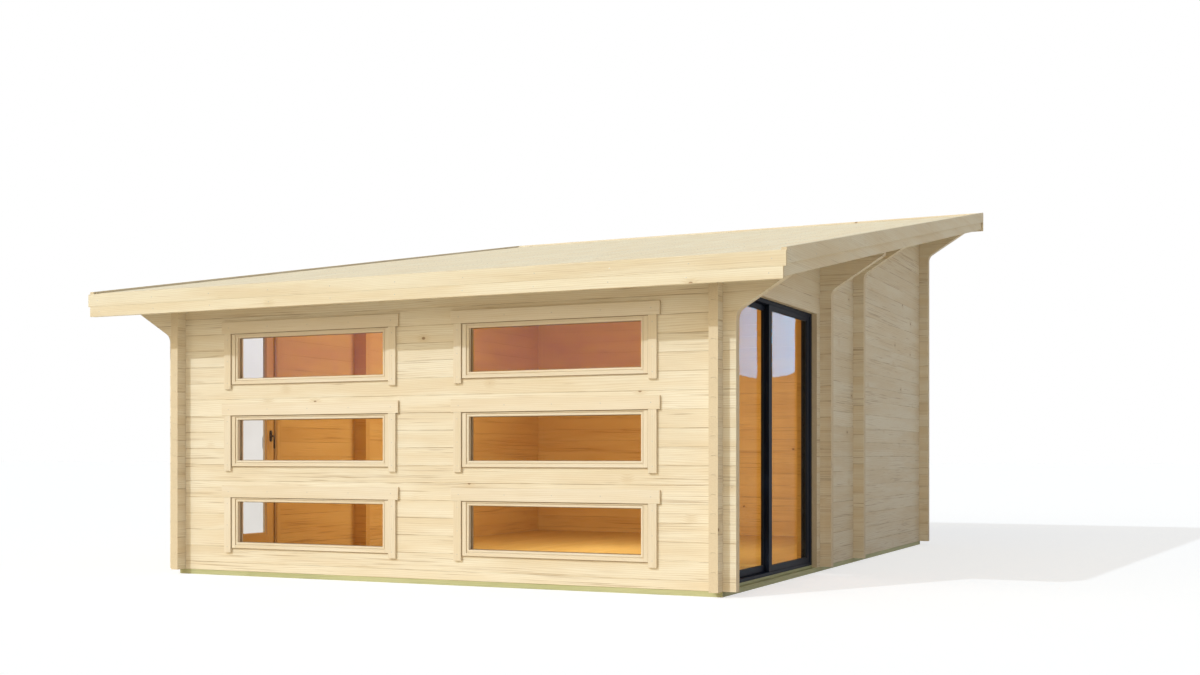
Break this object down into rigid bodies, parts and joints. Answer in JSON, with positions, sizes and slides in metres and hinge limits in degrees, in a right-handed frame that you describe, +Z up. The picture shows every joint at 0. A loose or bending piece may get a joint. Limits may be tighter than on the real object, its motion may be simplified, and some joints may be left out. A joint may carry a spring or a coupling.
{
  "type": "log cabin",
  "caption": "Single-pitch timber cabin of notched crossing logs with flared log ends under the roof, stacked fixed windows, a sliding glazed door and a hinged glazed door.",
  "frame": {"origin": "on the ground under the middle of the roof", "axes": "+X to the right wall with the sliding door, +Y from the low windowed front to the high back, +Z up"},
  "size_m": [6.1296, 7.6566, 3.824],
  "materials": {
    "log_wood": "planed untreated spruce logs",
    "treated_wood": "pressure-treated, slightly green",
    "floor_wood": "planed floor boards",
    "board_wood": "planed untreated spruce boards",
    "joinery_wood": "planed spruce joinery",
    "glass": "clear glazing",
    "dark_aluminium": "dark powder coat",
    "black_metal": "satin black"
  },
  "bodies": {
    "cabin": {"front_wall": "log_wood", "back_wall": "log_wood", "left_wall": "log_wood", "right_wall": "log_wood", "left_front_cross_logs": "log_wood", "left_rear_cross_logs": "log_wood", "right_front_cross_logs": "log_wood", "right_rear_cross_logs": "log_wood", "front_cross_beam": "log_wood", "rear_cross_beam": "log_wood", "purlins": "log_wood", "front_foundation_beam": "treated_wood", "back_foundation_beam": "treated_wood", "left_foundation_beam": "treated_wood", "right_foundation_beam": "treated_wood", "floor_joists": "treated_wood", "floor_boards": "floor_wood", "roof_boards": "board_wood", "front_fascia": "board_wood", "front_fascia_strip": "board_wood", "back_fascia": "board_wood", "back_fascia_strip": "board_wood", "left_bargeboard": "board_wood", "left_bargeboard_strip": "board_wood", "right_bargeboard": "board_wood", "right_bargeboard_strip": "board_wood", "left_window_frames": "joinery_wood", "right_window_frames": "joinery_wood", "left_window_casing": "joinery_wood", "right_window_casing": "joinery_wood", "entrance_frame": "joinery_wood", "entrance_casing": "joinery_wood", "left_window_glass": "glass", "right_window_glass": "glass", "fixed_panel_glass": "glass", "sliding_door_frame": "dark_aluminium", "fixed_panel": "dark_aluminium", "entrance_frame_hinges": "black_metal"},
    "sliding_panel": {"sliding_panel": "dark_aluminium", "sliding_panel_glass": "glass", "sliding_panel_handles": "dark_aluminium"},
    "entrance_door": {"entrance_leaf": "joinery_wood", "entrance_glass": "glass", "entrance_handles": "black_metal", "entrance_leaf_hinges": "black_metal"}
  },
  "joints": [
    {"name": "sliding_door", "type": "slide", "parent": "cabin", "child": "sliding_panel", "axis": [0, 1, 0], "range_m": [0, 0.95]},
    {"name": "entrance_door", "type": "hinge", "parent": "cabin", "child": "entrance_door", "pos_m": [-2.4755, -3.106, 1.1], "axis": [0, 0, 1], "range_deg": [0, 100]}
  ]
}
